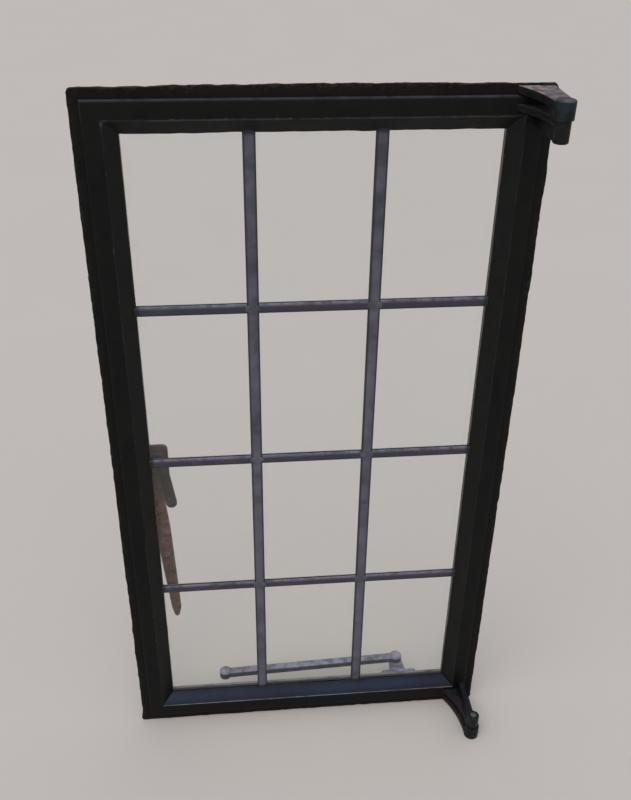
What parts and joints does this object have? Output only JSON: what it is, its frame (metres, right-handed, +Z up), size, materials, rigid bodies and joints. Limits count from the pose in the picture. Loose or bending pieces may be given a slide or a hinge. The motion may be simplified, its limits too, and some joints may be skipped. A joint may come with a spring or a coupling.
{
  "type": "side-hung steel casement window",
  "caption": "Side-hung steel casement in its fixed steel frame, with a leaded light of rectangular panes, projecting hinges, an inside lever fastener and a bar stay.",
  "frame": {"origin": "middle of the sill's seat, the underside of the fixed frame's bottom web", "axes": "+X to the right seen from outside, +Y into the room, +Z up"},
  "size_m": [0.46, 0.1295, 0.852],
  "materials": {
    "black_paint": "worn satin black paint on steel",
    "putty": "hard putty under the same black paint",
    "lead": "weathered grey lead",
    "glass": "clear thin sheet glass",
    "rusty_steel": "rusty brown steel",
    "worn_steel": "dull worn steel"
  },
  "bodies": {
    "window": {"border_came": "lead", "bottom_hinge_casement_arm": "black_paint", "bottom_hinge_frame_arm": "black_paint", "bottom_hinge_pin": "worn_steel", "bottom_putty": "putty", "came_level_lower": "lead", "came_level_middle": "lead", "came_level_upper": "lead", "came_upright_left": "lead", "came_upright_right": "lead", "casement_bottom_rail": "black_paint", "casement_left_stile": "black_paint", "casement_right_stile": "black_paint", "casement_top_rail": "black_paint", "frame_head": "black_paint", "frame_left_jamb": "black_paint", "frame_right_jamb": "black_paint", "frame_sill": "black_paint", "handle_keep": "worn_steel", "handle_pin": "rusty_steel", "handle_plate": "worn_steel", "left_putty": "putty", "pane_row1_col1": "glass", "pane_row1_col2": "glass", "pane_row1_col3": "glass", "pane_row2_col1": "glass", "pane_row2_col2": "glass", "pane_row2_col3": "glass", "pane_row3_col1": "glass", "pane_row3_col2": "glass", "pane_row3_col3": "glass", "pane_row4_col1": "glass", "pane_row4_col2": "glass", "pane_row4_col3": "glass", "right_putty": "putty", "stay_bracket": "worn_steel", "stay_pin": "worn_steel", "top_hinge_casement_arm": "black_paint", "top_hinge_frame_arm": "black_paint", "top_hinge_pin": "worn_steel", "top_putty": "putty"},
    "handle": {"handle_lever": "rusty_steel"},
    "stay": {"stay_bar": "worn_steel"}
  },
  "joints": [
    {"name": "handle_turn", "type": "hinge", "parent": "window", "child": "handle", "pos_m": [-0.189, 0.02075, 0.404], "axis": [0, -1, 0], "range_deg": [0, 90]},
    {"name": "stay_swing", "type": "hinge", "parent": "window", "child": "stay", "pos_m": [0.128, 0.03525, 0.0223], "axis": [0, 0, -1], "range_deg": [0, 110]}
  ]
}
